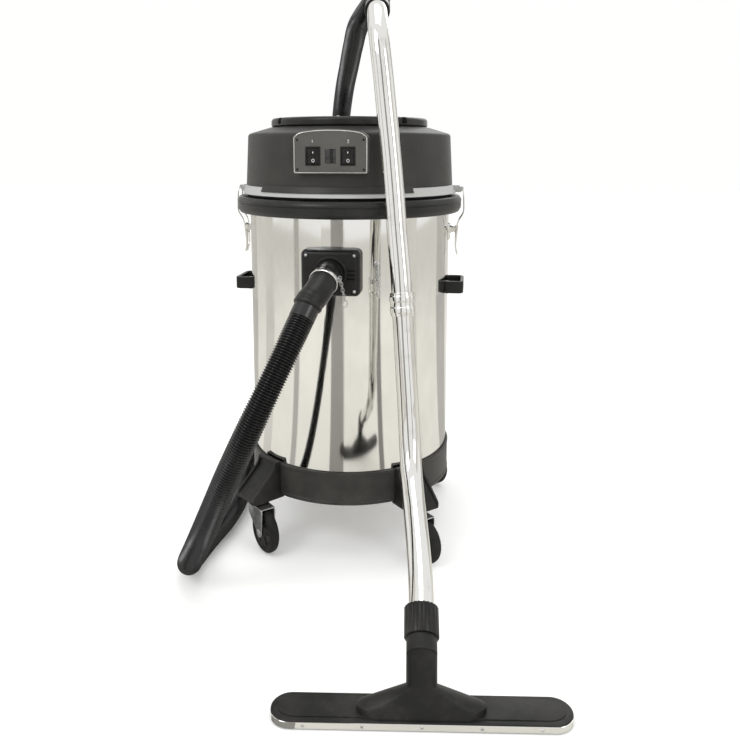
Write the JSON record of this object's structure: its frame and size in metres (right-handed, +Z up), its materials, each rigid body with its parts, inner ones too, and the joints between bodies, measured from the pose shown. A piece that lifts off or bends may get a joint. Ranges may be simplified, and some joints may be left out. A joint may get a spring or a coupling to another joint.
{
  "type": "shop vacuum",
  "caption": "Wet and dry vacuum on four swivel casters: steel drum, lift-off head with two rocker switches, side latches, hose, bent wand and wide floor tool.",
  "frame": {"origin": "on the floor, at the middle of the footprint of everything but the free hose", "axes": "+Z up, the inlet and switches face -Y, +X to the right as seen from the front"},
  "size_m": [0.757, 1.1731, 1.1907],
  "materials": {
    "steel_drum": "polished",
    "bright_metal": "polished",
    "zinc": "zinc plated",
    "dark_plastic": "fine grain",
    "black_plastic": "satin",
    "grey_plastic": "satin",
    "rubber": "matt",
    "hose_plastic": "corrugated",
    "filter_media": "pleated",
    "motor_metal": "cast"
  },
  "bodies": {
    "tank": {"drum": "steel_drum", "rim_bumper": "dark_plastic", "rim_seal": "rubber", "base_ring": "dark_plastic", "caster_bracket_front_left": "black_plastic", "caster_bracket_front_right": "black_plastic", "caster_bracket_rear_left": "black_plastic", "caster_bracket_rear_right": "black_plastic", "carry_handle_left": "black_plastic", "carry_handle_right": "black_plastic", "latch_plate_left": "bright_metal", "latch_plate_right": "bright_metal", "inlet_box": "black_plastic", "inlet_deflector": "black_plastic", "hose_elbow": "black_plastic", "elbow_collar": "bright_metal", "collar_chain": "zinc", "lower_wand": "bright_metal", "upper_wand": "bright_metal", "wand_lock_collar": "bright_metal", "floor_tool_body": "black_plastic", "floor_tool_collar": "black_plastic", "floor_tool_strip": "bright_metal", "squeegee_front": "rubber", "squeegee_rear": "rubber", "hose": "hose_plastic"},
    "cuff": {"hose_cuff": "black_plastic"},
    "head": {"head_shell": "dark_plastic", "head_band": "grey_plastic", "top_cover": "dark_plastic", "switch_panel": "black_plastic", "cable_gland": "rubber", "motor_deck": "black_plastic", "motor_left": "motor_metal", "motor_right": "motor_metal", "cartridge_filter": "filter_media", "float_cage": "black_plastic", "latch_catch_left": "grey_plastic", "latch_catch_right": "grey_plastic"},
    "float": {"float_ball": "grey_plastic"},
    "switch_left": {"rocker_switch_left": "black_plastic"},
    "fan_left": {"fan_left": "motor_metal"},
    "lever_left": {"latch_lever_left": "bright_metal"},
    "bail_left": {"latch_bail_left": "bright_metal"},
    "switch_right": {"rocker_switch_right": "black_plastic"},
    "fan_right": {"fan_right": "motor_metal"},
    "lever_right": {"latch_lever_right": "bright_metal"},
    "bail_right": {"latch_bail_right": "bright_metal"},
    "fork_front_left": {"caster_fork_front_left": "zinc", "caster_axle_front_left": "zinc"},
    "wheel_front_left": {"caster_wheel_front_left": "rubber"},
    "fork_front_right": {"caster_fork_front_right": "zinc", "caster_axle_front_right": "zinc"},
    "wheel_front_right": {"caster_wheel_front_right": "rubber"},
    "fork_rear_left": {"caster_fork_rear_left": "zinc", "caster_axle_rear_left": "zinc"},
    "wheel_rear_left": {"caster_wheel_rear_left": "rubber"},
    "fork_rear_right": {"caster_fork_rear_right": "zinc", "caster_axle_rear_right": "zinc"},
    "wheel_rear_right": {"caster_wheel_rear_right": "rubber"}
  },
  "joints": [
    {"name": "swivel_front_left", "type": "hinge", "parent": "tank", "child": "fork_front_left", "pos_m": [-0.25735, 0.02954, 0.1102], "axis": [0, 0, 1], "continuous": true},
    {"name": "roll_front_left", "type": "hinge", "parent": "fork_front_left", "child": "wheel_front_left", "pos_m": [-0.23929, 0.01083, 0.047], "axis": [0.7193, 0.6947, 0], "continuous": true},
    {"name": "swivel_front_right", "type": "hinge", "parent": "tank", "child": "fork_front_right", "pos_m": [0.07855, 0.02954, 0.1102], "axis": [0, 0, 1], "continuous": true},
    {"name": "roll_front_right", "type": "hinge", "parent": "fork_front_right", "child": "wheel_front_right", "pos_m": [0.09662, 0.01083, 0.047], "axis": [0.7193, 0.6947, 0], "continuous": true},
    {"name": "swivel_rear_left", "type": "hinge", "parent": "tank", "child": "fork_rear_left", "pos_m": [-0.25735, 0.41595, 0.1102], "axis": [0, 0, 1], "continuous": true},
    {"name": "roll_rear_left", "type": "hinge", "parent": "fork_rear_left", "child": "wheel_rear_left", "pos_m": [-0.23929, 0.39725, 0.047], "axis": [0.7193, 0.6947, 0], "continuous": true},
    {"name": "swivel_rear_right", "type": "hinge", "parent": "tank", "child": "fork_rear_right", "pos_m": [0.07855, 0.41595, 0.1102], "axis": [0, 0, 1], "continuous": true},
    {"name": "roll_rear_right", "type": "hinge", "parent": "fork_rear_right", "child": "wheel_rear_right", "pos_m": [0.09662, 0.39725, 0.047], "axis": [0.7193, 0.6947, 0], "continuous": true},
    {"name": "head_lift", "type": "slide", "parent": "tank", "child": "head", "axis": [0, 0, 1], "range_m": [0, 0.09]},
    {"name": "switch_left", "type": "hinge", "parent": "head", "child": "switch_left", "pos_m": [-0.1234, -0.01376, 0.833], "axis": [1, 0, 0], "range_deg": [-9, 0]},
    {"name": "switch_right", "type": "hinge", "parent": "head", "child": "switch_right", "pos_m": [-0.0554, -0.01376, 0.833], "axis": [1, 0, 0], "range_deg": [-9, 0]},
    {"name": "latch_left", "type": "hinge", "parent": "tank", "child": "lever_left", "pos_m": [-0.3212, 0.22274, 0.671], "axis": [0, 1, 0], "range_deg": [0, 75]},
    {"name": "bail_left", "type": "hinge", "parent": "lever_left", "child": "bail_left", "pos_m": [-0.3274, 0.22274, 0.677], "axis": [0, 1, 0], "range_deg": [-113, 0]},
    {"name": "latch_right", "type": "hinge", "parent": "tank", "child": "lever_right", "pos_m": [0.1424, 0.22274, 0.671], "axis": [0, -1, 0], "range_deg": [0, 75]},
    {"name": "bail_right", "type": "hinge", "parent": "lever_right", "child": "bail_right", "pos_m": [0.1486, 0.22274, 0.677], "axis": [0, -1, 0], "range_deg": [-113, 0]},
    {"name": "float_rise", "type": "slide", "parent": "head", "child": "float", "axis": [0, 0, 1], "range_m": [0, 0.0699]},
    {"name": "spin_left", "type": "hinge", "parent": "head", "child": "fan_left", "pos_m": [-0.1744, 0.22274, 0.7679], "axis": [0, 0, 1], "continuous": true},
    {"name": "spin_right", "type": "hinge", "parent": "head", "child": "fan_right", "pos_m": [-0.0044, 0.22274, 0.7679], "axis": [0, 0, 1], "continuous": true},
    {"name": "cuff_swivel", "type": "hinge", "parent": "tank", "child": "cuff", "pos_m": [-0.00748, 0.052, 1.11109], "axis": [-0.11, 0.9429, 0.3143], "continuous": true}
  ],
  "couplings": [
    {"joint": "bail_left", "follows": "latch_left", "ratio": -1.5},
    {"joint": "bail_right", "follows": "latch_right", "ratio": -1.5}
  ]
}
